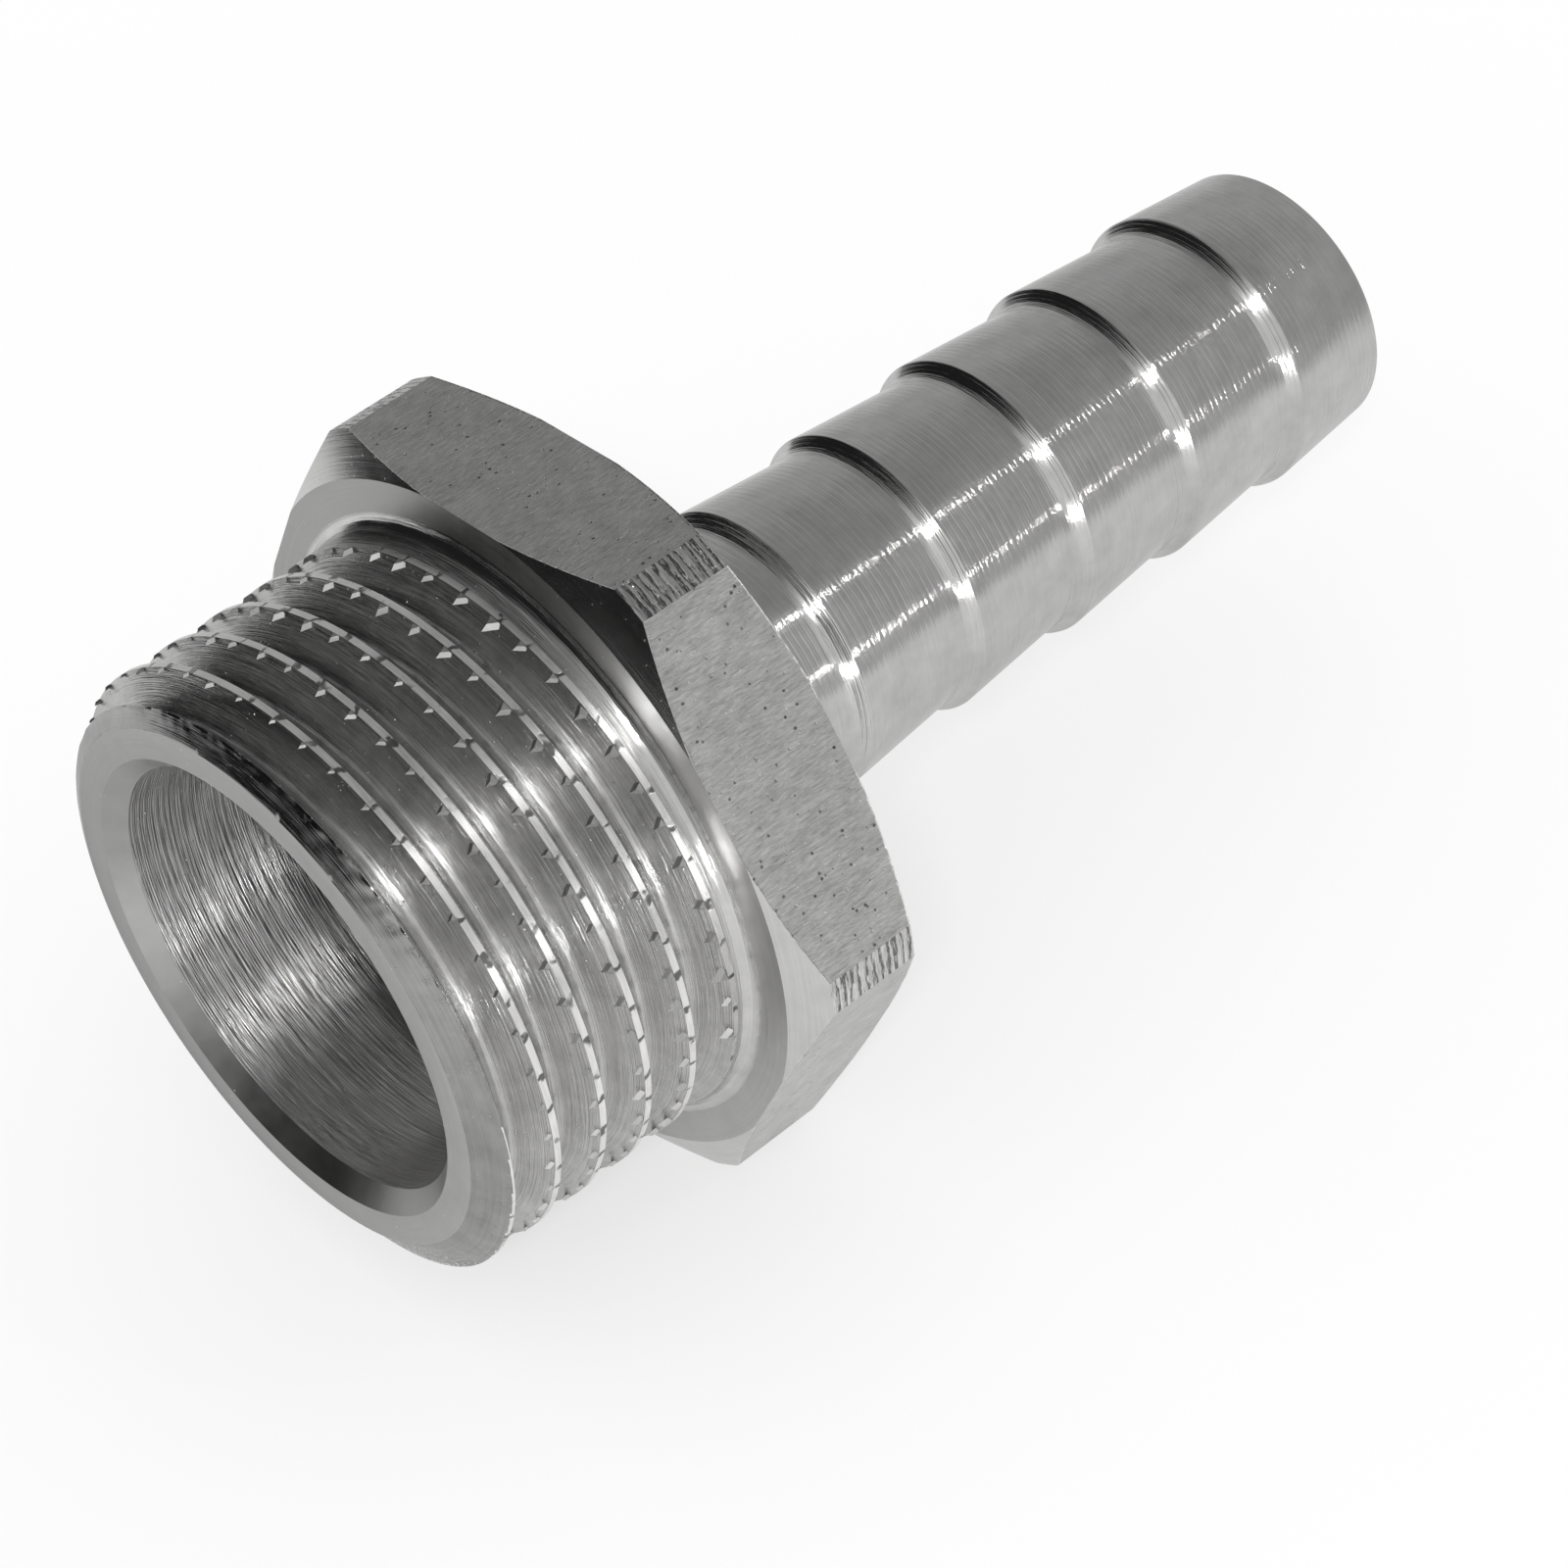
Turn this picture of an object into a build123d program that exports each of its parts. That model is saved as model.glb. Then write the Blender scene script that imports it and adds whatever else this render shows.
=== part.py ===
from build123d import *

import math
import os

# Hose barb tail: a male parallel pipe thread, a hexagon and a barbed hose tail, turned as one piece.
# The axis runs along +X from the thread end to the tip of the tail. The origin lies on the axis, in the
# seating face of the hexagon, and +Z is up: the fitting lies on one flat. Millimetres and degrees.

# Thread: G 1/2, parallel and right-handed, Whitworth form
THREAD_DIAMETER = 20.955
TURNS_PER_INCH = 14
DEPTH_PER_PITCH = 0.6403
FLANK_ANGLE = 27.5
CREST_FLAT = 0.24
# The first full crest, by its angle from +Y towards +Z and its distance from the thread end
FIRST_CREST_ANGLE = 148.3
FIRST_CREST_DISTANCE = 2.13
GROOVES_IN_LINE = 5
RUN_OUT_ANGLE = 220.0
TOOL_OVERSIZE = 0.12
EXIT_CLEARANCE = 1.0
# The end chamfer reaches a little below the thread's root
END_CHAMFER_LENGTH = 0.55
END_CHAMFER_BELOW_ROOT = 0.066

# Shank between the thread end and the seating face, with the cone that it ends in
SHANK_LENGTH = 10.15
SHOULDER_CONE = 0.55

# Hexagon: its corners stand out past the flats as a turned cylinder and are chamfered at both ends
ACROSS_FLATS = 24.0
HEX_THICKNESS = 4.75
CORNER_STAND = 1.5
FACE_STAND = 0.125
HEX_CHAMFER_ANGLE = 27.0

# Hose tail: each ridge has a step in front of it, which rises from the root in two tapers
BARB_COUNT = 5
BARB_PITCH = 5.1
RIDGE_DIAMETER = 10.4
BARB_HEIGHT = 0.37
STEP_LENGTH = 0.3
STEP_HEIGHT = 0.3
FOOT_TAPER_LENGTH = 0.22
NECK_LENGTH = 5.6
LAST_BARB_LENGTH = 4.1

# Bores: the walls that they leave under the thread and under the barbs
THREAD_WALL = 1.716
COUNTERBORE_DEPTH = 6.8
COUNTERBORE_CHAMFER = 0.6
DRILL_POINT_ANGLE = 118.0
TAIL_WALL = 1.03

INCH = 25.4
THREAD_PITCH = INCH / TURNS_PER_INCH
THREAD_DEPTH = DEPTH_PER_PITCH * THREAD_PITCH
CREST_RADIUS = THREAD_DIAMETER / 2
THREAD_ROOT_RADIUS = CREST_RADIUS - THREAD_DEPTH
THREAD_END = -SHANK_LENGTH
MID_HEX = HEX_THICKNESS / 2
RIDGE_RADIUS = RIDGE_DIAMETER / 2
BARB_ROOT_RADIUS = RIDGE_RADIUS - BARB_HEIGHT
FIRST_RIDGE = HEX_THICKNESS + NECK_LENGTH
TAIL_TIP = FIRST_RIDGE + (BARB_COUNT - 1) * BARB_PITCH + LAST_BARB_LENGTH


def turned(points):
    """Solid of revolution about the axis from (x, radius) points."""
    with BuildPart() as blank:
        with BuildSketch(Plane.XY):
            with BuildLine():
                Polyline(*points, close=True)
            make_face()
        revolve(axis=Axis.X)
    return blank.part


def shank():
    """Shank before threading: chamfered at its free end, with a cone up to the seating face."""
    return turned([
        (THREAD_END, 0),
        (THREAD_END, THREAD_ROOT_RADIUS - END_CHAMFER_BELOW_ROOT),
        (THREAD_END + END_CHAMFER_LENGTH, CREST_RADIUS),
        (-SHOULDER_CONE, CREST_RADIUS),
        (0, CREST_RADIUS + SHOULDER_CONE),
        (MID_HEX, CREST_RADIUS + SHOULDER_CONE),
        (MID_HEX, 0),
    ])


def tool_section(plane):
    """Section of the threading tool, point inwards, in a plane whose x direction is radial."""
    slope = math.tan(math.radians(FLANK_ANGLE))
    point_half = (THREAD_PITCH - CREST_FLAT) / 2 - THREAD_DEPTH * slope
    height = THREAD_DEPTH + TOOL_OVERSIZE
    mouth_half = point_half + height * slope
    outline = Polyline(
        (0, -point_half),
        (0, point_half),
        (height, mouth_half),
        (height, -mouth_half),
        close=True,
    )
    return plane * make_face(outline)


def threading_cuts():
    """Turns of the groove from beyond the thread end, and the tangent way out where the tool is drawn off."""
    crest_to_groove = THREAD_PITCH / 2
    entry = -crest_to_groove
    first_groove = FIRST_CREST_DISTANCE - crest_to_groove
    turn_share = (RUN_OUT_ANGLE - FIRST_CREST_ANGLE) / 360
    run_out = first_groove + (GROOVES_IN_LINE - 1 + turn_share) * THREAD_PITCH
    path = Helix(THREAD_PITCH, run_out - entry, THREAD_ROOT_RADIUS, direction=(1, 0, 0))
    start = Plane(path @ 0, x_dir=(0, 0, 1), z_dir=path % 0)
    outward = Vector(0, (path @ 1).Y, (path @ 1).Z)
    end = Plane(path @ 1, x_dir=outward, z_dir=path % 1)
    exit_length = math.sqrt(CREST_RADIUS**2 - THREAD_ROOT_RADIUS**2) + EXIT_CLEARANCE
    turns = sweep(tool_section(start), path=path, is_frenet=True)
    way_out = extrude(tool_section(end), exit_length)
    # The helix starts at +Z, which is 90 degrees from +Y
    entry_angle = FIRST_CREST_ANGLE + (entry - first_groove) / THREAD_PITCH * 360
    placement = Pos(THREAD_END + entry, 0, 0) * Rot(entry_angle - 90, 0, 0)
    return placement * turns, placement * way_out


def hexagon():
    """Hexagon lying on one flat, cut back to the turned corners and chamfered at both ends."""
    face_radius = ACROSS_FLATS / 2 + FACE_STAND
    corner_radius = ACROSS_FLATS / 2 + CORNER_STAND
    chamfer_length = (corner_radius - face_radius) * math.tan(math.radians(HEX_CHAMFER_ANGLE))
    outline = Plane.YZ * RegularPolygon(ACROSS_FLATS / 2, 6, major_radius=False)
    envelope = turned([
        (0, 0),
        (0, face_radius),
        (chamfer_length, corner_radius),
        (HEX_THICKNESS - chamfer_length, corner_radius),
        (HEX_THICKNESS, face_radius),
        (HEX_THICKNESS, 0),
    ])
    return extrude(outline, HEX_THICKNESS) & envelope


def tail():
    """Neck and barbs: every ridge steps down towards the hexagon and tapers towards the tip."""
    points = [(MID_HEX, 0), (MID_HEX, BARB_ROOT_RADIUS)]
    for barb in range(BARB_COUNT):
        ridge = FIRST_RIDGE + barb * BARB_PITCH
        points += [
            (ridge - STEP_LENGTH - FOOT_TAPER_LENGTH, BARB_ROOT_RADIUS),
            (ridge - STEP_LENGTH, RIDGE_RADIUS - STEP_HEIGHT),
            (ridge, RIDGE_RADIUS),
        ]
    points += [(TAIL_TIP, BARB_ROOT_RADIUS), (TAIL_TIP, 0)]
    return turned(points)


def bores():
    """Counterbore from the thread end with its drill point, and the bore through the tail."""
    wide = THREAD_ROOT_RADIUS - THREAD_WALL
    narrow = BARB_ROOT_RADIUS - TAIL_WALL
    counterbore_end = THREAD_END + COUNTERBORE_DEPTH
    point_length = (wide - narrow) / math.tan(math.radians(DRILL_POINT_ANGLE / 2))
    return turned([
        (THREAD_END, 0),
        (THREAD_END, wide + COUNTERBORE_CHAMFER),
        (THREAD_END + COUNTERBORE_CHAMFER, wide),
        (counterbore_end, wide),
        (counterbore_end + point_length, narrow),
        (TAIL_TIP, narrow),
        (TAIL_TIP, 0),
    ])


os.makedirs("parts", exist_ok=True)
groove_turns, groove_way_out = threading_cuts()
threaded_shank = shank() - groove_turns - groove_way_out
fitting = threaded_shank + hexagon() + tail() - bores()
print("volume", round(fitting.volume, 1), "valid", fitting.is_valid, "solids", len(fitting.solids()))
print("centre of mass", fitting.center())
export_step(fitting, "parts/hose_tail.step")
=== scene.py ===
"""Looks of a turned hose barb tail: its threaded shank, its hexagon, its barbs, its finishes and its studio."""

from __future__ import annotations

import logging
import math
import random
from dataclasses import dataclass
from enum import Enum
from typing import Callable, Iterable, Sequence

import bmesh
import bpy
from mathutils import Matrix, Vector, noise

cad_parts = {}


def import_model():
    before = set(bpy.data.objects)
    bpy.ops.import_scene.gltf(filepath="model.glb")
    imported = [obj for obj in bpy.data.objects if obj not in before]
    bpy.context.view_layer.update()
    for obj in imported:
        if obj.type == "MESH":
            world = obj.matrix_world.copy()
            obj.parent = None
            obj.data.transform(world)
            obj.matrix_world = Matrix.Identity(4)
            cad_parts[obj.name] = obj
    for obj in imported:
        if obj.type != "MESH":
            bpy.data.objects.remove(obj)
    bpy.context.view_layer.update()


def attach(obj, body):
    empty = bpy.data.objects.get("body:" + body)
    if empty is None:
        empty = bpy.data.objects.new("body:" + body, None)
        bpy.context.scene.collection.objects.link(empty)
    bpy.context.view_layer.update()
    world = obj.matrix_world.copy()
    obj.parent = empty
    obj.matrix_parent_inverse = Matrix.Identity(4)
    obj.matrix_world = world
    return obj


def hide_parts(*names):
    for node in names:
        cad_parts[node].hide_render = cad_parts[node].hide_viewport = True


LOG = logging.getLogger("hose_barb_tail")

NODE = "hose_tail"
BODY = "root"
MM = 0.001
FULL_TURN = 2 * math.pi
# A weld joins what lies closer than this, and a cut takes what lies closer to its plane (mm)
WELD = 1e-4
ON_PLANE = 1e-3
# How far inside its nominal radius a face may lie and still belong to its zone (mm)
ZONE_EDGE = 0.1
CREST_EDGE = 0.02
# The hexagon's flats, and the mark that a milled one carries until its finish is chosen
FLATS = 6
MILLED = 1


# The middle of a noise and of a repeat
HALF = 0.5
# How the lines and the clouds of the metal mix, and what a unit of line depth is (mm)
FINE_CLOSER = 2.7
FINE_SHORTER = 2.0
FINE_SHARE = 0.4
CLOUD_SCALE = 0.9
NOISE_SPAN = 4
LINES_IN_GLOSS = 0.8
CLOUD_IN_GLOSS = 0.5
LINE_UNIT = 0.01
METAL_TINT = (1.0, 0.995, 0.985)


class Finish(Enum):
    """The surfaces of the fitting that are cut or drawn in different ways."""

    TURNED = "turned"
    THREAD = "thread"
    CREST = "crest"
    FACE = "face"
    CHAMFER = "chamfer"
    DRAWN_FLAT = "drawn_flat"
    CORNER = "corner"
    BORE = "bore"
    BURR = "burr"


# --------------------------------------------------------------------------------------------------
# Shader maths
# --------------------------------------------------------------------------------------------------


class Signal:
    """A number that varies over a surface: the output socket of a node, with arithmetic."""

    def __init__(self, recipe: Recipe, socket: bpy.types.NodeSocket) -> None:
        """Wrap a socket.

        Args:
            recipe: The node tree that new nodes go into.
            socket: The output socket.
        """
        self.recipe = recipe
        self.socket = socket

    def _math(self, operation: str, *values: Signal | float, clamp: bool = False) -> Signal:
        """Add a Math node.

        Args:
            operation: The node's operation.
            values: Its inputs in order.
            clamp: Whether the result is held between 0 and 1.

        Returns:
            The result.
        """
        settings = {"operation": operation, "use_clamp": clamp}
        return self.recipe.add("ShaderNodeMath", settings, dict(enumerate(values)))

    def __add__(self, other: Signal | float) -> Signal:
        """Sum."""
        return self._math("ADD", self, other)

    def __sub__(self, other: Signal | float) -> Signal:
        """Difference."""
        return self._math("SUBTRACT", self, other)

    def __mul__(self, other: Signal | float) -> Signal:
        """Product."""
        return self._math("MULTIPLY", self, other)

    def __truediv__(self, other: Signal | float) -> Signal:
        """Quotient."""
        return self._math("DIVIDE", self, other)

    def __rsub__(self, other: float) -> Signal:
        """Reflected difference."""
        return self._math("SUBTRACT", other, self)

    __radd__ = __add__
    __rmul__ = __mul__

    def __pow__(self, exponent: float) -> Signal:
        """Power."""
        return self._math("POWER", self, exponent)

    def absolute(self) -> Signal:
        """Size without its sign."""
        return self._math("ABSOLUTE", self)

    def fraction(self) -> Signal:
        """What is left above the whole number below."""
        return self._math("FRACT", self)

    def smallest(self, other: Signal | float) -> Signal:
        """The smaller of two."""
        return self._math("MINIMUM", self, other)

    def clamped(self) -> Signal:
        """Held between 0 and 1."""
        return self._math("ADD", self, 0.0, clamp=True)

    def rise(self, low: float, high: float) -> Signal:
        """A soft step.

        Args:
            low: Where it leaves 0; above high, the step falls instead.
            high: Where it reaches 1.

        Returns:
            The step, from 0 to 1.
        """
        settings = {"interpolation_type": "SMOOTHSTEP"}
        if low < high:
            return self.recipe.add("ShaderNodeMapRange", settings, {0: self, 1: low, 2: high, 3: 0.0, 4: 1.0})
        return self.recipe.add("ShaderNodeMapRange", settings, {0: self, 1: high, 2: low, 3: 1.0, 4: 0.0})

    def band(self, centre: float, half_width: float, softness: float) -> Signal:
        """A soft bar that is 1 within half_width of centre and 0 beyond the softness.

        Args:
            centre: Middle of the bar.
            half_width: Half of the part that is 1.
            softness: Width of each soft side.

        Returns:
            The bar, from 0 to 1.
        """
        return (self - centre).absolute().rise(half_width + softness, half_width)


class Recipe:
    """A node tree that is filled through one method."""

    def __init__(self, tree: bpy.types.NodeTree) -> None:
        """Empty a node tree.

        Args:
            tree: The tree to fill.
        """
        self.tree = tree
        tree.nodes.clear()

    def add(
        self,
        kind: str,
        settings: dict[str, object] | None = None,
        inputs: dict[int | str, object] | None = None,
        output: int | str = 0,
    ) -> Signal:
        """Add a node, set it up and link it.

        Args:
            kind: The node's type.
            settings: Its properties, which are set first.
            inputs: Values or signals by socket.
            output: The socket to hand back.

        Returns:
            The wanted output.
        """
        node = self.tree.nodes.new(kind)
        for name, value in (settings or {}).items():
            setattr(node, name, value)
        for key, value in (inputs or {}).items():
            if isinstance(value, Signal):
                self.tree.links.new(value.socket, node.inputs[key])
            else:
                node.inputs[key].default_value = value
        out = node.outputs[output] if len(node.outputs) else None
        return Signal(self, out)

    def end(self, kind: str, surface: Signal) -> None:
        """Add the output node.

        Args:
            kind: The output node's type.
            surface: The shader that feeds it.
        """
        self.add(kind, None, {"Surface": surface})

    def vector(self, x: Signal | float, y: Signal | float, z: Signal | float) -> Signal:
        """Three numbers as one vector."""
        return self.add("ShaderNodeCombineXYZ", None, {0: x, 1: y, 2: z})

    def parts(self, vector: Signal) -> tuple[Signal, Signal, Signal]:
        """A vector as three numbers.

        Args:
            vector: The vector.

        Returns:
            Its x, y and z.
        """
        split = self.tree.nodes.new("ShaderNodeSeparateXYZ")
        self.tree.links.new(vector.socket, split.inputs[0])
        return tuple(Signal(self, split.outputs[axis]) for axis in range(3))

    def noise(self, place: Signal, scale: float, detail: float = 2.0, roughness: float = 0.5) -> Signal:
        """Noise from about 0 to 1 at a place."""
        return self.add(
            "ShaderNodeTexNoise",
            {"noise_dimensions": "3D"},
            {"Vector": place, "Scale": scale, "Detail": detail, "Roughness": roughness},
        )

    def cells(self, place: Signal, scale: float) -> Signal:
        """Distance to the middle of the nearest random cell."""
        return self.add("ShaderNodeTexVoronoi", None, {"Vector": place, "Scale": scale}, "Distance")

    def bump(self, height: Signal, distance: float) -> Signal:
        """A normal bent by a height, whose unit is a distance in metres."""
        return self.add("ShaderNodeBump", None, {"Strength": 1.0, "Distance": distance, "Height": height})


class Surroundings:
    """Where a point of the fitting lies: along its axis, out from it and round it."""

    def __init__(self, recipe: Recipe) -> None:
        """Read the object's coordinates in millimetres.

        Args:
            recipe: The material's recipe.
        """
        self.recipe = recipe
        metres = recipe.add("ShaderNodeTexCoord", None, None, "Object")
        self.place = recipe.add(
            "ShaderNodeVectorMath", {"operation": "SCALE"}, {0: metres, "Scale": 1 / MM}
        )
        self.x, self.y, self.z = recipe.parts(self.place)
        self.radius = (self.y * self.y + self.z * self.z) ** 0.5
        self.turn = self.z._math("ARCTAN2", self.z, self.y) / FULL_TURN

    def round_lines(self, across: float, along: float) -> Signal:
        """Coordinates that a noise turns into long lines round the axis.

        Args:
            across: How close the lines lie, per mm.
            along: How soon a line changes, per turn.

        Returns:
            The stretched place.
        """
        return self.recipe.vector(
            (self.x + self.radius) * across,
            self.y / self.radius * along,
            self.z / self.radius * along,
        )

    def axial_lines(self, across: float, along: float) -> Signal:
        """Coordinates that a noise turns into lines along the axis.

        Args:
            across: How close the lines lie, per mm.
            along: How soon a line changes, per mm.

        Returns:
            The stretched place.
        """
        return self.recipe.vector(self.x * along, self.y * across, self.z * across)


# --------------------------------------------------------------------------------------------------
# Finishes
# --------------------------------------------------------------------------------------------------


@dataclass
class Surface:
    """What a finish has worked out so far, for its effects to change."""

    recipe: Recipe
    where: Surroundings
    plain_tone: float
    coarse: Signal
    cloud: Signal
    tone: Signal
    rough: Signal
    height: Signal


class Effect:
    """Something that changes a finish in places."""

    def work(self, surface: Surface) -> None:
        """Change the surface.

        Args:
            surface: The surface so far.
        """
        raise NotImplementedError


@dataclass(frozen=True)
class Specks(Effect):
    """Light grains that stand up a little."""

    share: float
    tone: float = 0.95
    cells_per_mm: float = 5.0
    reach: tuple[float, float] = (0.20, 0.12)
    pick_scale: float = 3.1
    pick_edge: float = 0.7
    roughening: float = 0.2
    height: float = 0.8

    def work(self, surface: Surface) -> None:
        """Scatter the grains.

        Args:
            surface: The surface so far.
        """
        place = surface.where.place
        grain = surface.recipe.cells(place, self.cells_per_mm)
        pick = surface.recipe.noise(place, self.pick_scale, 1.0)
        specks = grain.rise(*self.reach) * pick.rise(1 - self.share, 1 - self.share * self.pick_edge)
        surface.tone = surface.tone + specks * (self.tone - surface.plain_tone)
        surface.rough = surface.rough + specks * self.roughening
        surface.height = surface.height + specks * self.height


@dataclass(frozen=True)
class Pits(Effect):
    """Small dark hollows."""

    share: float
    cells_per_mm: float = 3.4
    reach: tuple[float, float] = (0.22, 0.10)
    pick_scale: float = 2.3
    pick_edge: float = 0.6
    darkening: float = 0.75
    depth: float = 2.0

    def work(self, surface: Surface) -> None:
        """Sink the pits.

        Args:
            surface: The surface so far.
        """
        place = surface.where.place
        hollow = surface.recipe.cells(place, self.cells_per_mm)
        pick = surface.recipe.noise(place, self.pick_scale, 1.0)
        pits = hollow.rise(*self.reach) * pick.rise(1 - self.share, 1 - self.share * self.pick_edge)
        surface.tone = surface.tone * (1.0 - pits * self.darkening)
        surface.height = surface.height - pits * self.depth


@dataclass(frozen=True)
class Nicks(Effect):
    """Dark gaps that break a crest into dashes."""

    per_turn: int
    wander: float = 1.2
    half_width: float = 0.04
    softness: float = 0.07
    pick_scale: float = 1.7
    pick: tuple[float, float] = (0.35, 0.55)
    darkening: float = 0.8
    depth: float = 2.0

    def work(self, surface: Surface) -> None:
        """Break the crest.

        Args:
            surface: The surface so far.
        """
        along = (surface.where.turn * self.per_turn + surface.cloud * self.wander).fraction()
        pick = surface.recipe.noise(surface.where.place, self.pick_scale, 1.0).rise(*self.pick)
        nick = along.band(HALF, self.half_width, self.softness) * pick
        surface.tone = surface.tone * (1.0 - nick * self.darkening)
        surface.height = surface.height - nick * self.depth


@dataclass(frozen=True)
class FeedMarks(Effect):
    """The fine grooves that a turning tool leaves at each turn."""

    spacing: float
    depth: float
    darkening: float = 0.0
    wander: float = 0.5
    raggedness: float = 3.0
    softness: float = 0.25

    def work(self, surface: Surface) -> None:
        """Turn the grooves.

        Args:
            surface: The surface so far.
        """
        where = surface.where
        along = (where.x + where.radius) / self.spacing + surface.cloud * self.wander
        along = along + surface.coarse * self.darkening * self.raggedness
        mark = along.fraction().band(HALF, 0.0, self.softness)
        surface.tone = surface.tone * (1.0 - mark * self.darkening)
        surface.height = surface.height - mark * self.depth


@dataclass(frozen=True)
class PaintedDepthShade(Effect):
    """Painted shade deep in the counterbore: the tone darkens between two places along the axis (mm)."""

    start: float = -5.3
    stop: float = -4.3
    darkening: float = 0.6

    def work(self, surface: Surface) -> None:
        """Paint the shade into the depth.

        Args:
            surface: The surface so far.
        """
        # Painted shade: the bore's tone falls from start to stop along the axis.
        surface.tone = surface.tone * (1.0 - surface.where.x.rise(self.start, self.stop) * self.darkening)


@dataclass(frozen=True)
class BrightRim(Effect):
    """The thin bright burr where a flat of the hexagon meets its turned chamfers (mm)."""

    thickness: float = 4.75
    face_radius: float = 12.125
    corner_radius: float = 13.5
    chamfer_length: float = 0.7006
    reach: tuple[float, float] = (0.11, 0.04)
    pick_scale: float = 4.0
    pick: tuple[float, float] = (0.36, 0.56)
    lightening: float = 0.4
    height: float = 0.6

    def work(self, surface: Surface) -> None:
        """Raise the burr.

        Args:
            surface: The surface so far.
        """
        where = surface.where
        slope = (self.corner_radius - self.face_radius) / self.chamfer_length
        inside = where.x.smallest(self.thickness - where.x) * slope + self.face_radius - where.radius
        pick = surface.recipe.noise(where.place, self.pick_scale, 3.0).rise(*self.pick)
        rim = inside.rise(*self.reach) * pick
        surface.tone = surface.tone + rim * self.lightening
        surface.height = surface.height + rim * self.height


@dataclass(frozen=True)
class TornEdge(Effect):
    """The thread's smooth end chamfer and the torn ridge that its cut leaves in the first groove (mm)."""

    end: float = -10.15
    foot_radius: float = 9.25
    crest_radius: float = 10.4775
    length: float = 0.55
    smooth_reach: tuple[float, float] = (0.20, 0.12)
    torn_middle: float = 0.24
    torn_half_width: float = 0.14
    torn_softness: float = 0.10
    fleck_scale: float = 7.0
    fleck_pick: tuple[float, float] = (0.5, 0.62)
    smoothing: float = 0.85
    fleck_height: float = 0.5
    chamfer_darkening: float = 0.35
    ridge_darkening: float = 0.3
    fleck_lightening: float = 0.7
    chamfer_gloss: float = 0.5
    fleck_roughening: float = 0.5

    def work(self, surface: Surface) -> None:
        """Smooth the chamfer and tear the ridge.

        Args:
            surface: The surface so far.
        """
        where = surface.where
        slope = (self.crest_radius - self.foot_radius) / self.length
        below = (where.x - self.end) * slope + self.foot_radius - where.radius
        smooth = below.rise(*self.smooth_reach)
        torn = below.band(self.torn_middle, self.torn_half_width, self.torn_softness)
        fleck = surface.recipe.noise(where.place, self.fleck_scale, 4.0, 0.7).rise(*self.fleck_pick) * torn
        surface.height = surface.height * (1.0 - smooth * self.smoothing) + fleck * self.fleck_height
        darker = surface.tone * (1.0 - smooth * self.chamfer_darkening) * (1.0 - torn * self.ridge_darkening)
        surface.tone = darker + fleck * self.fleck_lightening
        surface.rough = surface.rough * (1.0 - smooth * self.chamfer_gloss) + fleck * self.fleck_roughening


@dataclass(frozen=True)
class MetalFinish:
    """A finish of the bare metal: its tone, its gloss, its fine lines and its effects."""

    name: Finish
    tone: float = 0.66
    roughness: float = 0.24
    line_spacing: float = 9.0
    line_length: float = 1.6
    line_depth: float = 0.35
    line_contrast: float = 0.10
    axial: bool = False
    mottle: float = 0.06
    effects: tuple[Effect, ...] = ()

    def _surface(self, recipe: Recipe) -> Surface:
        """The lined and clouded metal that the effects start from.

        Args:
            recipe: The material's recipe.

        Returns:
            The surface.
        """
        where = Surroundings(recipe)
        lines_at = where.axial_lines if self.axial else where.round_lines
        coarse = recipe.noise(lines_at(self.line_spacing, self.line_length), 1.0, 3.0, 0.65)
        closer, shorter = self.line_spacing * FINE_CLOSER, self.line_length * FINE_SHORTER
        fine = recipe.noise(lines_at(closer, shorter), 1.0, 2.0, 0.6)
        cloud = recipe.noise(where.place, CLOUD_SCALE, 3.0, 0.6)
        lines = coarse * (1 - FINE_SHARE) + fine * FINE_SHARE
        lined = (lines - HALF) * self.line_contrast * NOISE_SPAN
        tone = self.tone * (1.0 + lined + (cloud - HALF) * self.mottle * NOISE_SPAN)
        rough = self.roughness * (1.0 + (lines - HALF) * LINES_IN_GLOSS + (cloud - HALF) * CLOUD_IN_GLOSS)
        return Surface(recipe, where, self.tone, coarse, cloud, tone, rough, lines)

    def material(self) -> bpy.types.Material:
        """Make the material.

        Returns:
            The finished material.
        """
        material = bpy.data.materials.new(f"metal_{self.name.value}")
        material.use_nodes = True
        recipe = Recipe(material.node_tree)
        surface = self._surface(recipe)
        for effect in self.effects:
            effect.work(surface)
        shade = recipe.vector(*(surface.tone * share for share in METAL_TINT))
        normal = recipe.bump(surface.height, self.line_depth * MM * LINE_UNIT)
        shader = recipe.add(
            "ShaderNodeBsdfPrincipled",
            None,
            {"Base Color": shade, "Metallic": 1.0, "Roughness": surface.rough.clamped(), "Normal": normal},
        )
        recipe.end("ShaderNodeOutputMaterial", shader)
        return material


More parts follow.
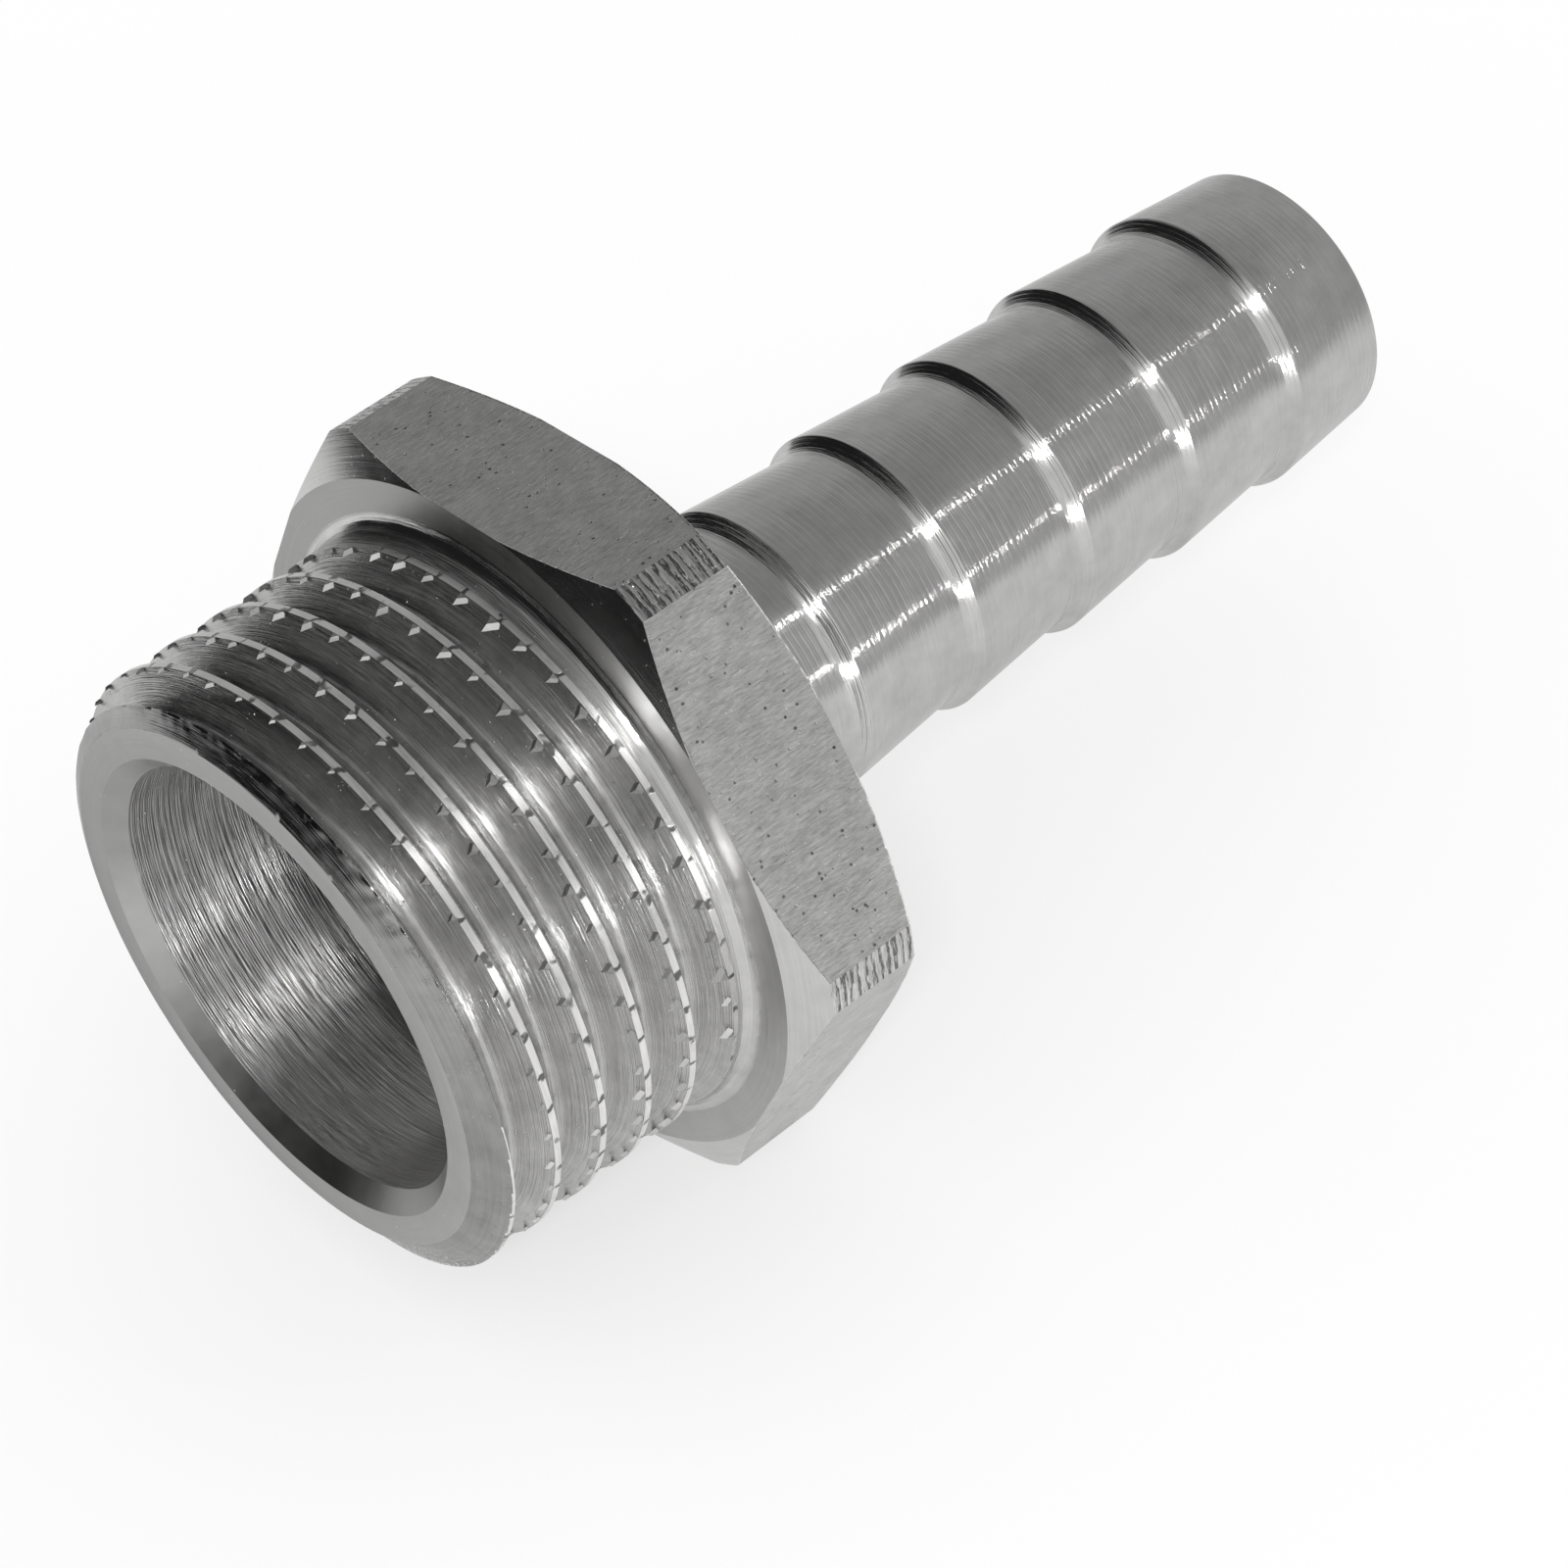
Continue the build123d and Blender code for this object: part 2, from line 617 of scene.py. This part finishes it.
FINISHES: tuple[MetalFinish, ...] = (
    MetalFinish(
        Finish.TURNED,
        roughness=0.14,
        line_spacing=10.0,
        line_length=2.0,
        line_depth=1.5,
        line_contrast=0.08,
        mottle=0.10,
        effects=(FeedMarks(spacing=0.23, depth=0.31),),
    ),
    MetalFinish(
        Finish.THREAD,
        tone=0.58,
        roughness=0.24,
        line_spacing=8.0,
        line_length=1.5,
        line_depth=5.0,
        line_contrast=0.2,
        mottle=0.14,
        effects=(Specks(share=0.4), TornEdge()),
    ),
    MetalFinish(
        Finish.CREST,
        tone=0.9,
        roughness=0.3,
        line_spacing=7.0,
        line_length=9.0,
        line_contrast=0.2,
        effects=(Nicks(per_turn=48),),
    ),
    MetalFinish(
        Finish.FACE,
        tone=0.56,
        roughness=0.36,
        line_length=1.5,
        line_depth=1.0,
        effects=(Specks(share=0.36),),
    ),
    MetalFinish(
        Finish.CHAMFER,
        roughness=0.2,
        line_spacing=5.0,
        line_length=2.0,
        line_depth=0.6,
        effects=(Specks(share=0.42),),
    ),
    MetalFinish(
        Finish.DRAWN_FLAT,
        tone=0.56,
        roughness=0.36,
        axial=True,
        line_spacing=11.0,
        line_length=1.8,
        line_depth=5.5,
        line_contrast=0.42,
        mottle=0.12,
        effects=(Specks(share=0.46, tone=0.9), Pits(share=0.52), BrightRim()),
    ),
    MetalFinish(
        Finish.CORNER,
        roughness=0.26,
        line_spacing=6.0,
        line_length=12.0,
        line_depth=5.0,
        line_contrast=0.6,
        effects=(FeedMarks(spacing=0.3, depth=1.2, darkening=0.75),),
    ),
    MetalFinish(
        Finish.BORE,
        tone=0.7,
        roughness=0.34,
        line_spacing=8.0,
        line_length=1.2,
        line_depth=11.0,
        line_contrast=0.12,
        mottle=0.1,
        # The bore carries painted shade in its depth.
        effects=(Specks(share=0.36), PaintedDepthShade()),
    ),
    MetalFinish(
        Finish.BURR,
        tone=0.45,
        roughness=0.5,
        line_length=9.0,
        line_contrast=0.3,
    ),
)


# --------------------------------------------------------------------------------------------------
# Shapes
# --------------------------------------------------------------------------------------------------


class Blank:
    """A mesh under work: a profile drawn in the plane of the axis and turned about it, in millimetres."""

    def __init__(self) -> None:
        """Start with nothing."""
        self.mesh = bmesh.new()

    def profile(self, points: Sequence[tuple[float, float]], rounded: dict[int, tuple[float, int]]) -> list:
        """Draw an open profile.

        Args:
            points: Distance along the axis and radius of each corner.
            rounded: Corner number to its bevel's reach and number of segments.

        Returns:
            The profile's vertices and edges.
        """
        corners = [self.mesh.verts.new((x, radius, 0.0)) for x, radius in points]
        for first, second in zip(corners, corners[1:]):
            self.mesh.edges.new((first, second))
        for number, (reach, segments) in rounded.items():
            bmesh.ops.bevel(
                self.mesh,
                geom=[corners[number]],
                offset=reach,
                offset_type="OFFSET",
                segments=segments,
                profile=0.5,
                affect="VERTICES",
                material=-1,
            )
        return list(self.mesh.verts) + list(self.mesh.edges)

    def subdivide(self, longest: float) -> None:
        """Cut every edge that is longer than allowed into equal pieces.

        Args:
            longest: The longest edge that stays whole.
        """
        for edge in list(self.mesh.edges):
            cuts = math.ceil(edge.calc_length() / longest) - 1
            if cuts > 0:
                bmesh.ops.subdivide_edges(self.mesh, edges=[edge], cuts=cuts)

    def turn(self, steps: int, turns: float = 1.0, pitch: float = 0.0) -> None:
        """Turn everything drawn so far about the axis, with an advance for a screw.

        Args:
            steps: Steps in each full turn.
            turns: How many turns.
            pitch: Advance along the axis in each turn.
        """
        closed = turns == 1.0 and pitch == 0.0
        bmesh.ops.spin(
            self.mesh,
            geom=list(self.mesh.verts) + list(self.mesh.edges),
            cent=(0, 0, 0),
            axis=(1, 0, 0),
            dvec=(pitch / steps, 0, 0),
            angle=FULL_TURN * turns,
            steps=round(steps * turns),
            use_merge=closed,
            use_duplicate=False,
        )
        bmesh.ops.remove_doubles(self.mesh, verts=list(self.mesh.verts), dist=WELD)

    def cut(self, point: Vector, outward: Vector, wanted: Callable[[Vector], bool]) -> list[bmesh.types.BMEdge]:
        """Cut away what lies beyond a plane.

        Args:
            point: A point of the plane.
            outward: The plane's normal, towards what goes.
            wanted: Says from a vertex's place whether the cut may touch it.

        Returns:
            The edges of the cut.
        """
        faces = [f for f in self.mesh.faces if all(wanted(v.co) for v in f.verts)]
        edges = {e for f in faces for e in f.edges}
        verts = {v for f in faces for v in f.verts}
        result = bmesh.ops.bisect_plane(
            self.mesh,
            geom=faces + list(edges) + list(verts),
            dist=WELD,
            plane_co=point,
            plane_no=outward,
            clear_outer=True,
        )
        return [g for g in result["geom_cut"] if isinstance(g, bmesh.types.BMEdge)]

    def finished(self, name: str, zones: Callable[[bmesh.types.BMFace], Finish], sharp: float) -> bpy.types.Object:
        """Turn the blank into an object of the fitting.

        Args:
            name: The object's name.
            zones: Gives the finish of a face.
            sharp: The angle, in degrees, past which an edge stays sharp.

        Returns:
            The object, in metres and at the origin.
        """
        bmesh.ops.recalc_face_normals(self.mesh, faces=list(self.mesh.faces))
        used = [finish.name for finish in FINISHES]
        for face in self.mesh.faces:
            face.material_index = used.index(zones(face))
            face.smooth = True
        bmesh.ops.scale(self.mesh, vec=(MM, MM, MM), verts=list(self.mesh.verts))
        data = bpy.data.meshes.new(name)
        self.mesh.to_mesh(data)
        self.mesh.free()
        data.set_sharp_from_angle(angle=math.radians(sharp))
        piece = bpy.data.objects.new(name, data)
        bpy.context.scene.collection.objects.link(piece)
        for finish in FINISHES:
            data.materials.append(Workshop.material(finish))
        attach(piece, BODY)
        return piece


class Workshop:
    """Keeps one material for each finish."""

    _made: dict[Finish, bpy.types.Material] = {}

    @classmethod
    def material(cls, finish: MetalFinish) -> bpy.types.Material:
        """The material of a finish, made on first use.

        Args:
            finish: The finish.

        Returns:
            Its material.
        """
        if finish.name not in cls._made:
            cls._made[finish.name] = finish.material()
        return cls._made[finish.name]


def out(place: Vector) -> float:
    """Distance of a place from the axis."""
    return math.hypot(place.y, place.z)


def anywhere(place: Vector) -> bool:
    """Lets a cut touch every vertex."""
    return True


@dataclass
class TurnedBody:
    """Bores, tail, hexagon and shoulder: everything but the thread, turned from one profile (mm)."""

    steps: int = 240
    thread_end: float = -10.15
    crest_radius: float = 10.4775
    thread_stop: float = -0.5
    shoulder_reach: float = 0.48
    mouth_radius: float = 8.2
    counterbore_radius: float = 7.6
    counterbore_end: float = -3.35
    drill_end: float = -1.067
    bore_radius: float = 3.8
    tip: float = 34.85
    root_radius: float = 4.83
    ridge_radius: float = 5.2
    first_ridge: float = 10.35
    barb_pitch: float = 5.1
    barbs: int = 5
    step_length: float = 0.42
    foot_reach: float = 0.22
    land: float = 0.45
    ridge_reach: float = 0.05
    tip_reach: float = 0.08
    neck_reach: float = 0.25
    hex_thickness: float = 4.75
    across_flats: float = 24.0
    face_radius: float = 12.125
    corner_radius: float = 13.5
    chamfer_length: float = 0.7006
    sharp: float = 24.0

    def outline(self) -> tuple[list[tuple[float, float]], dict[int, tuple[float, int]]]:
        """The profile from the mouth of the counterbore, through the bores and round the outside.

        Returns:
            The profile's corners, and which of them are rounded.
        """
        mouth = self.mouth_radius - self.counterbore_radius
        points = [
            (self.thread_end, self.mouth_radius),
            (self.thread_end + mouth, self.counterbore_radius),
            (self.counterbore_end, self.counterbore_radius),
            (self.drill_end, self.bore_radius),
            (self.tip, self.bore_radius),
            (self.tip, self.root_radius),
        ]
        rounded = {len(points) - 1: (self.tip_reach, 3)}
        for barb in reversed(range(self.barbs)):
            ridge = self.first_ridge + barb * self.barb_pitch
            rounded[len(points)] = (self.ridge_reach, 3)
            points.append((ridge, self.ridge_radius))
            rounded[len(points)] = (self.foot_reach, 5)
            points.append((ridge - self.step_length, self.root_radius))
            if barb:
                points.append((ridge - self.step_length - self.land, self.root_radius))
        rounded[len(points)] = (self.neck_reach, 4)
        points += [
            (self.hex_thickness, self.root_radius),
            (self.hex_thickness, self.face_radius),
            (self.hex_thickness - self.chamfer_length, self.corner_radius),
            (self.chamfer_length, self.corner_radius),
            (0.0, self.face_radius),
        ]
        rounded[len(points)] = (self.shoulder_reach, 7)
        points += [(0.0, self.crest_radius), (self.thread_stop, self.crest_radius)]
        return points, rounded

    def _in_hexagon(self, place: Vector) -> bool:
        """Whether a place belongs to the hexagon's outside."""
        return -ON_PLANE < place.x < self.hex_thickness + ON_PLANE and out(place) > self.root_radius

    def zone(self, face: bmesh.types.BMFace) -> Finish:
        """Finish of a face, from where it lies.

        Args:
            face: A face of the body.

        Returns:
            Its finish.
        """
        middle = face.calc_center_median()
        radius = out(middle)
        if face.material_index == MILLED:
            return Finish.DRAWN_FLAT
        if radius < self.mouth_radius and middle.x < self.hex_thickness - ON_PLANE:
            mouth = self.mouth_radius - self.counterbore_radius
            return Finish.FACE if middle.x < self.thread_end + mouth else Finish.BORE
        if middle.x > self.hex_thickness + ON_PLANE:
            return Finish.TURNED
        if radius > self.corner_radius - ZONE_EDGE / 2:
            return Finish.CORNER
        if radius > self.face_radius - ZONE_EDGE and ON_PLANE < middle.x < self.hex_thickness - ON_PLANE:
            return Finish.CHAMFER
        if abs(middle.x) < ON_PLANE or abs(middle.x - self.hex_thickness) < ON_PLANE:
            return Finish.FACE
        return Finish.TURNED

    def build(self) -> bpy.types.Object:
        """Turn the profile, mill the six flats and dress the body.

        Returns:
            The finished piece.
        """
        blank = Blank()
        points, rounded = self.outline()
        blank.profile(points, rounded)
        blank.turn(self.steps)
        for flat in range(FLATS):
            angle = FULL_TURN * (flat + HALF) / FLATS
            outward = Vector((0, math.cos(angle), math.sin(angle)))
            edges = blank.cut(outward * self.across_flats / 2, outward, self._in_hexagon)
            made = bmesh.ops.contextual_create(blank.mesh, geom=edges)
            for face in made["faces"]:
                face.material_index = MILLED
        return blank.finished("turned_body", self.zone, self.sharp)


@dataclass
class ScrewThread:
    """The male thread: a groove profile turned with an advance, chamfered, torn and run out (mm)."""

    steps: int = 240
    major_radius: float = 10.4775
    pitch: float = 25.4 / 14
    depth: float = 1.1617
    flank_angle: float = 27.5
    crest_flat: float = 0.24
    root_reach: float = 0.24
    end: float = -10.15
    stop: float = -0.5
    face_radius: float = 9.25
    mouth_radius: float = 8.2
    chamfer_length: float = 0.55
    first_crest: float = 2.13
    first_crest_angle: float = 148.3
    grooves_in_line: int = 5
    run_out_angle: float = 220.0
    tear: float = 0.08
    tear_scale: float = 2.5
    tear_start: float = 0.2
    run_out_reach: float = 60.0
    finer_cuts: int = 2
    longest_edge: float = 0.16
    turns: int = 7
    sharp: float = 30.0

    @property
    def root_radius(self) -> float:
        """Radius at the bottom of the groove."""
        return self.major_radius - self.depth

    def groove_centre(self, angle: float) -> float:
        """Where the groove lies along the axis.

        Args:
            angle: Angle along the screw in degrees, on past full turns.

        Returns:
            Distance along the axis from the seating face.
        """
        first = self.end + self.first_crest - self.pitch / 2
        return first + self.pitch * (angle - self.first_crest_angle) / 360

    def along_screw(self, place: Vector) -> tuple[float, float]:
        """Where a place lies on the screw.

        Args:
            place: A vertex of the thread.

        Returns:
            Its angle along the screw in degrees, and its distance from the groove's centre.
        """
        turn = math.degrees(math.atan2(place.z, place.y)) % 360
        near = self.first_crest_angle + 360 * (place.x - self.groove_centre(self.first_crest_angle)) / self.pitch
        angle = turn + 360 * round((near - turn) / 360)
        return angle, place.x - self.groove_centre(angle)

    def _shape(self, vert: bmesh.types.BMVert) -> None:
        """Run the groove out, chamfer the end and tear the cut ridge.

        Args:
            vert: A vertex of the thread, which is moved.
        """
        radius = out(vert.co)
        angle, _ = self.along_screw(vert.co)
        past = angle - (self.run_out_angle + 360 * (self.grooves_in_line - 1))
        if past > 0:
            lift = self.root_radius * (1 / math.cos(math.radians(min(past, self.run_out_reach))) - 1)
            radius = min(self.major_radius, radius + lift)
        rise = (vert.co.x - self.end) / self.chamfer_length
        torn = self.tear * noise.noise(vert.co * self.tear_scale) * min(1.0, max(0.0, rise - self.tear_start))
        limit = self.face_radius + (self.major_radius - self.face_radius) * rise - torn
        if radius > limit:
            radius = limit
        scale = radius / out(vert.co)
        vert.co.y *= scale
        vert.co.z *= scale

    def zone(self, face: bmesh.types.BMFace) -> Finish:
        """Finish of a face, from where it lies.

        Args:
            face: A face of the thread.

        Returns:
            Its finish.
        """
        middle = face.calc_center_median()
        radius = out(middle)
        if abs(middle.x - self.end) < ON_PLANE:
            return Finish.FACE
        _, offset = self.along_screw(middle)
        if radius > self.major_radius - CREST_EDGE and abs(offset) > (self.pitch - self.crest_flat) / 2:
            return Finish.CREST
        return Finish.THREAD

    def build(self) -> bpy.types.Object:
        """Turn the thread and dress it.

        Returns:
            The finished piece.
        """
        blank = Blank()
        half = self.pitch / 2
        crest = half - self.crest_flat / 2
        root = crest - self.depth * math.tan(math.radians(self.flank_angle))
        start = self.groove_centre(0.0) - self.pitch
        offsets = [
            (-half, self.major_radius),
            (-crest, self.major_radius),
            (-root, self.root_radius),
            (root, self.root_radius),
            (crest, self.major_radius),
            (half, self.major_radius),
        ]
        points = [(start + offset, radius) for offset, radius in offsets]
        blank.profile(points, {2: (self.root_reach, 5), 3: (self.root_reach, 5)})
        blank.subdivide(self.longest_edge)
        blank.turn(self.steps, self.turns, self.pitch)
        mouth = blank.cut(Vector((self.end, 0, 0)), Vector((-1, 0, 0)), anywhere)
        blank.cut(Vector((self.stop, 0, 0)), Vector((1, 0, 0)), anywhere)
        near_end = self.end + self.chamfer_length + self.pitch / 4
        fine = [e for e in blank.mesh.edges if all(v.co.x < near_end for v in e.verts)]
        bmesh.ops.subdivide_edges(blank.mesh, edges=fine, cuts=self.finer_cuts, use_grid_fill=True)
        for vert in blank.mesh.verts:
            self._shape(vert)
        open_edges = [e for e in blank.mesh.edges if e.is_boundary]
        edges = [e for e in open_edges if all(abs(v.co.x - self.end) < ON_PLANE for v in e.verts)]
        ring = bmesh.ops.extrude_edge_only(blank.mesh, edges=edges)
        verts = [g for g in ring["geom"] if isinstance(g, bmesh.types.BMVert)]
        inwards = self.mouth_radius / self.face_radius
        bmesh.ops.scale(blank.mesh, vec=(1, inwards, inwards), verts=verts)
        LOG.info("thread end ring: %d edges, %d cut", len(edges), len(mouth))
        return blank.finished("screw_thread", self.zone, self.sharp)


@dataclass
class ThreadBurrs:
    """The chips left on the crests' thread-end side, as small blunt teeth (mm)."""

    thread: ScrewThread
    spacing: float = 7.5
    size: float = 0.35
    seed: int = 7
    lead_in: float = 120.0
    lead_out: float = 12.0
    wander: float = 0.6
    size_at_start: float = 0.55
    size_growth: float = 0.5
    size_spread: tuple[float, float] = (0.7, 1.15)
    overhang: float = 0.35
    sunk: float = 0.25
    tilt: float = 12.0
    bluntness: float = 0.5
    sharp: float = 20.0

    def build(self) -> bpy.types.Object:
        """Set the burrs along the screw.

        Returns:
            The finished piece.
        """
        blank = Blank()
        chance = random.Random(self.seed)
        thread = self.thread
        first = thread.first_crest_angle - self.lead_in
        last = thread.run_out_angle + 360 * (thread.grooves_in_line - 1) - self.lead_out
        count = int((last - first) / self.spacing)
        for number in range(count):
            angle = first + number * self.spacing + chance.uniform(-self.wander, self.wander)
            along = (angle - first) / (last - first)
            size = self.size * (self.size_at_start + self.size_growth * along) * chance.uniform(*self.size_spread)
            x = thread.groove_centre(angle) + (thread.pitch - thread.crest_flat) / 2 - size * self.overhang
            if x < thread.end + thread.chamfer_length:
                continue
            turned = math.radians(angle)
            place = (
                Matrix.Rotation(turned, 4, "X")
                @ Matrix.Translation((x, thread.major_radius - size * self.sunk, 0))
                @ Matrix.Rotation(math.radians(-90), 4, "X")
                @ Matrix.Rotation(math.radians(90 + chance.uniform(-self.tilt, self.tilt)), 4, "Z")
            )
            bmesh.ops.create_cone(
                blank.mesh,
                cap_ends=True,
                cap_tris=False,
                segments=3,
                radius1=size,
                radius2=size * self.bluntness,
                depth=size * self.bluntness,
                matrix=place,
            )
        return blank.finished("thread_burrs", lambda face: Finish.BURR, self.sharp)


# --------------------------------------------------------------------------------------------------
# Studio
# --------------------------------------------------------------------------------------------------


@dataclass(frozen=True)
class Lobe:
    """A soft patch of the studio, round one direction."""

    azimuth: float
    elevation: float
    inner: float
    outer: float
    level: float

    def direction(self) -> Vector:
        """The patch's middle as a unit vector."""
        azimuth, elevation = math.radians(self.azimuth), math.radians(self.elevation)
        flat = math.cos(elevation)
        return Vector((flat * math.cos(azimuth), flat * math.sin(azimuth), math.sin(elevation)))


@dataclass
class Studio:
    """Floor, surroundings, lamps and camera."""

    floor_height: float = -12.02
    floor_radius: float = 100.0
    floor_glow: float = 0.62
    floor_in_metal: float = 0.76
    # Where and how deep the floor's painted shadow lies, seen only in the metal's reflections (mm).
    shade_centre: tuple[float, float] = (-20.0, 18.0)
    shade_depth: float = 0.46
    shade_reach: tuple[float, float] = (36.0, 10.0)
    tail_shade: float = 0.24
    tail_reach: tuple[float, float] = (0.0, 25.0)
    rim_reach: tuple[float, float] = (60.0, 95.0)
    floor_tone: float = 0.9
    base_level: float = 0.38
    patches: tuple[Lobe, ...] = (
        Lobe(azimuth=0, elevation=90, inner=28, outer=60, level=0.26),
        Lobe(azimuth=138, elevation=15, inner=44, outer=68, level=0.015),
        Lobe(azimuth=60, elevation=-8, inner=6, outer=22, level=0.5),
        Lobe(azimuth=-62, elevation=-6, inner=6, outer=20, level=0.45),
        Lobe(azimuth=-110, elevation=28, inner=12, outer=52, level=0.7),
    )
    lamps: tuple[tuple[float, float, float, float], ...] = (
        (-56.6, 48.8, 0.022, 0.075),
        (-68.3, 7.4, 0.022, 0.08),
        (-132.0, 42.0, 0.06, 0.7),
        (-120.0, -3.0, 0.06, 0.6),
    )
    lamp_distance: float = 0.6
    camera_place: tuple[float, float, float] = (-59.95, -92.17, 95.44)
    camera_right: tuple[float, float, float] = (0.7249, -0.6793, -0.1143)
    camera_forward: tuple[float, float, float] = (0.4572, 0.5986, -0.6576)
    camera_lens: float = 106.38
    sensor_width: float = 36.0
    clip: tuple[float, float] = (0.005, 10.0)

    def _rays(self, recipe: Recipe) -> tuple[Signal, Signal, Signal]:
        """Which light a material answers.

        Args:
            recipe: The material's or the world's recipe.

        Returns:
            1 for the camera's own rays, for those that glossy or clear surfaces pass on, and for diffuse ones.
        """
        path = recipe.tree.nodes.new("ShaderNodeLightPath")
        names = ("Is Camera Ray", "Is Glossy Ray", "Is Transmission Ray", "Is Diffuse Ray")
        camera, glossy, clear, diffuse = (Signal(recipe, path.outputs[name]) for name in names)
        return camera, (glossy + clear).clamped(), diffuse

    def surroundings(self) -> None:
        """Make the world: white behind the fitting, with soft darker and lighter patches for the metal."""
        world = bpy.data.worlds.new("studio")
        bpy.context.scene.world = world
        world.use_nodes = True
        recipe = Recipe(world.node_tree)
        direction = recipe.add("ShaderNodeTexCoord", None, None, "Generated")
        level = recipe.add("ShaderNodeValue")
        level.socket.default_value = self.base_level
        for patch in self.patches:
            facing = recipe.add(
                "ShaderNodeVectorMath",
                {"operation": "DOT_PRODUCT"},
                {0: direction, 1: patch.direction()},
                "Value",
            )
            share = facing.rise(math.cos(math.radians(patch.outer)), math.cos(math.radians(patch.inner)))
            level = level * (1.0 - share) + share * patch.level
        camera, _, diffuse = self._rays(recipe)
        plain = (camera + diffuse).clamped()
        strength = level * (1.0 - plain) + plain
        shader = recipe.add("ShaderNodeBackground", None, {"Color": (1, 1, 1, 1), "Strength": strength})
        recipe.end("ShaderNodeOutputWorld", shader)

    def floor(self) -> bpy.types.Object:
        """Lay the pale floor, which keeps the shadow.

        Returns:
            The floor.
        """
        mesh = bmesh.new()
        bmesh.ops.create_circle(mesh, cap_ends=True, segments=96, radius=self.floor_radius * MM)
        bmesh.ops.translate(mesh, verts=mesh.verts, vec=(0.0, 0.0, self.floor_height * MM))
        data = bpy.data.meshes.new("floor")
        mesh.to_mesh(data)
        mesh.free()
        floor = bpy.data.objects.new("floor", data)
        bpy.context.scene.collection.objects.link(floor)
        material = bpy.data.materials.new("pale_floor")
        material.use_nodes = True
        recipe = Recipe(material.node_tree)
        where = Surroundings(recipe)
        camera, mirrored, _ = self._rays(recipe)
        rim = (where.x * where.x + where.y * where.y) ** 0.5
        glow = (camera + mirrored) * (self.floor_glow + (1 - self.floor_glow) * rim.rise(*self.rim_reach))
        # Painted shadow in the floor's glow as metal sees it: darker round shade_centre, and darker towards the
        # tail.
        aside_x, aside_y = where.x - self.shade_centre[0], where.y - self.shade_centre[1]
        shade = ((aside_x * aside_x + aside_y * aside_y) ** 0.5).rise(*self.shade_reach) * self.shade_depth
        shade = shade + where.x.rise(*self.tail_reach) * self.tail_shade
        level = 1.0 - mirrored * (1 - self.floor_in_metal + shade)
        matt = recipe.add("ShaderNodeBsdfDiffuse", None, {"Color": (*[self.floor_tone] * 3, 1)})
        white = recipe.add("ShaderNodeEmission", None, {"Color": (1, 1, 1, 1), "Strength": level})
        recipe.end("ShaderNodeOutputMaterial", recipe.add("ShaderNodeMixShader", None, {0: glow, 1: matt, 2: white}))
        data.materials.append(material)
        return floor

    def light(self) -> None:
        """Hang the lamps."""
        for number, (azimuth, elevation, width, power) in enumerate(self.lamps):
            lamp = bpy.data.lights.new(f"lamp_{number}", "AREA")
            lamp.shape = "DISK"
            lamp.size = width
            lamp.energy = power
            holder = bpy.data.objects.new(lamp.name, lamp)
            towards = Lobe(azimuth, elevation, 0, 0, 0).direction()
            turn = towards.to_track_quat("Z", "Y").to_matrix().to_4x4()
            holder.matrix_world = Matrix.Translation(towards * self.lamp_distance) @ turn
            bpy.context.scene.collection.objects.link(holder)

    def camera(self) -> None:
        """Set up the camera."""
        data = bpy.data.cameras.new("camera")
        data.sensor_width = self.sensor_width
        data.lens = self.camera_lens
        data.clip_start, data.clip_end = self.clip
        right = Vector(self.camera_right).normalized()
        forward = Vector(self.camera_forward).normalized()
        up = right.cross(forward).normalized()
        turn = Matrix((right, up, -forward)).transposed().to_4x4()
        holder = bpy.data.objects.new("camera", data)
        holder.matrix_world = Matrix.Translation(Vector(self.camera_place) * MM) @ turn
        bpy.context.scene.collection.objects.link(holder)
        bpy.context.scene.camera = holder

    def build(self) -> None:
        """Set up the whole studio."""
        self.surroundings()
        self.floor()
        self.light()
        self.camera()
        bpy.context.scene.view_settings.view_transform = "Standard"


def corners(box: Iterable[Vector]) -> list[list[float]]:
    """A box as plain lists of numbers."""
    return [list(corner) for corner in box]


def main() -> None:
    """Load the frame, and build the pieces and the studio."""
    logging.basicConfig(level=logging.INFO, format="%(message)s")
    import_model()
    thread = ScrewThread()
    pieces = [TurnedBody().build(), thread.build(), ThreadBurrs(thread).build()]
    for piece in pieces:
        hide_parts(NODE)
        LOG.info("%s: %d faces", piece.name, len(piece.data.polygons))
    Studio().build()


if __name__ == "__main__":
    main()
